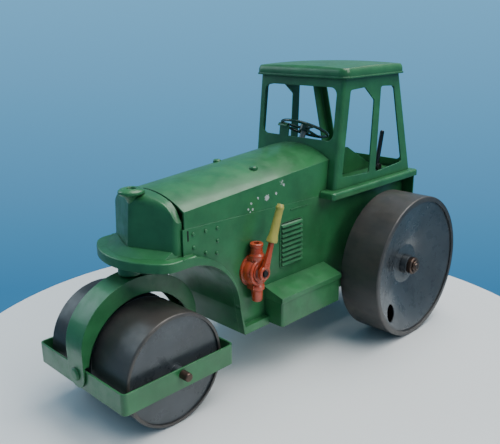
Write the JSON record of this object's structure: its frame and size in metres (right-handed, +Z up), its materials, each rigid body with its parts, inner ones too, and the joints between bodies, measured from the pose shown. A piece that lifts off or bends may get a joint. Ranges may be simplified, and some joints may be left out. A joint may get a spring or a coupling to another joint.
{
  "type": "toy road roller",
  "caption": "Pressed-steel toy diesel road roller with a steerable rocking front roll pair, large rear rolls, an open-window cab, side toolboxes and a lever hand pump",
  "frame": {"origin": "under the middle of the model's box, on the ground plane the rolls stand on", "axes": "+Z up, nose towards -Y, the toy's left side (pump and toolbox) towards +X; +Y is the long direction"},
  "size_m": [0.147, 0.2794, 0.188],
  "materials": {
    "green_enamel": "semi-gloss stoved enamel, lightly chipped",
    "roll_tread": "dark grey enamel worn brownish on the running face",
    "roll_disc": "satin dark grey enamel",
    "axle_steel": "browned steel",
    "plain_steel": "plain zinc-grey steel",
    "orange_enamel": "glossy orange-red enamel on a casting",
    "yellow_enamel": "semi-gloss ochre yellow enamel",
    "dark_green": "gloss, very dark green",
    "black_enamel": "black enamel"
  },
  "bodies": {
    "chassis": {"hull": "green_enamel", "front_wall": "green_enamel", "hood": "green_enamel", "hood_studs": "green_enamel", "nose_cowl": "green_enamel", "radiator_cap": "green_enamel", "kingpin_bush": "plain_steel", "louvre_panel_left": "green_enamel", "louvre_panel_right": "green_enamel", "side_rivets_left": "green_enamel", "side_rivets_right": "green_enamel", "toolbox_left": "green_enamel", "toolbox_right": "green_enamel", "toolbox_lid_left": "green_enamel", "toolbox_lid_right": "green_enamel", "cab_shell": "green_enamel", "cab_roof": "green_enamel", "platform": "green_enamel", "rear_apron": "green_enamel", "driver_seat": "green_enamel", "pump_body": "orange_enamel", "axle_bushes": "plain_steel", "column_bearing": "plain_steel", "column_jacket": "plain_steel", "brake_bracket": "black_enamel"},
    "fork": {"fork_arch": "green_enamel", "kingpin": "plain_steel", "fork_collar": "green_enamel", "steering_arm": "plain_steel", "kingpin_washer": "plain_steel", "fork_rivets": "green_enamel"},
    "roll_frame": {"roll_hoop": "green_enamel", "front_axle": "axle_steel", "front_axle_spacer": "plain_steel"},
    "front_roll_left": {"front_roll_tread_left": "roll_tread", "front_roll_outer_disc_left": "roll_disc", "front_roll_inner_disc_left": "roll_disc", "front_roll_hub_left": "roll_disc"},
    "front_roll_right": {"front_roll_tread_right": "roll_tread", "front_roll_outer_disc_right": "roll_disc", "front_roll_inner_disc_right": "roll_disc", "front_roll_hub_right": "roll_disc"},
    "rear_rolls": {"rear_axle": "axle_steel", "axle_collars": "plain_steel", "rear_roll_tread_left": "roll_tread", "rear_roll_outer_disc_left": "roll_disc", "rear_roll_inner_disc_left": "roll_disc", "rear_roll_hub_left": "roll_disc", "rear_roll_tread_right": "roll_tread", "rear_roll_outer_disc_right": "roll_disc", "rear_roll_inner_disc_right": "roll_disc", "rear_roll_hub_right": "roll_disc"},
    "steering": {"steering_column": "plain_steel", "column_crank": "plain_steel", "steering_wheel": "dark_green"},
    "drag_link": {"drag_link": "plain_steel"},
    "pump_handle": {"pump_lever": "orange_enamel", "pump_grip": "yellow_enamel"},
    "brake": {"brake_lever": "black_enamel"}
  },
  "joints": [
    {"name": "fork_steer", "type": "hinge", "parent": "chassis", "child": "fork", "pos_m": [0, -0.0983, 0.088], "axis": [0, 0, 1], "range_deg": [-25, 25]},
    {"name": "frame_rock", "type": "hinge", "parent": "fork", "child": "roll_frame", "pos_m": [0, -0.0983, 0.033], "axis": [0, 1, 0], "range_deg": [-6, 6]},
    {"name": "front_roll_left_spin", "type": "hinge", "parent": "roll_frame", "child": "front_roll_left", "pos_m": [0.02, -0.0983, 0.033], "axis": [1, 0, 0], "continuous": true},
    {"name": "front_roll_right_spin", "type": "hinge", "parent": "roll_frame", "child": "front_roll_right", "pos_m": [-0.02, -0.0983, 0.033], "axis": [1, 0, 0], "continuous": true},
    {"name": "rear_rolls_spin", "type": "hinge", "parent": "chassis", "child": "rear_rolls", "pos_m": [0, 0.0897, 0.05], "axis": [1, 0, 0], "continuous": true},
    {"name": "steering_turn", "type": "hinge", "parent": "chassis", "child": "steering", "pos_m": [0, 0.0527, 0.144], "axis": [0, 0.454, 0.891], "range_deg": [-25, 25]},
    {"name": "drag_link_swing", "type": "hinge", "parent": "fork", "child": "drag_link", "pos_m": [0.009, -0.0983, 0.09], "axis": [0, 0, 1], "range_deg": [-25, 25]},
    {"name": "pump_stroke", "type": "hinge", "parent": "chassis", "child": "pump_handle", "pos_m": [0.0406, -0.0318, 0.0716], "axis": [1, 0, 0], "range_deg": [-25, 45]},
    {"name": "brake_pull", "type": "hinge", "parent": "chassis", "child": "brake", "pos_m": [0.022, 0.1097, 0.1112], "axis": [1, 0, 0], "range_deg": [-8, 18]}
  ],
  "couplings": [
    {"joint": "steering_turn", "follows": "fork_steer", "ratio": 1},
    {"joint": "drag_link_swing", "follows": "fork_steer", "ratio": -1}
  ]
}
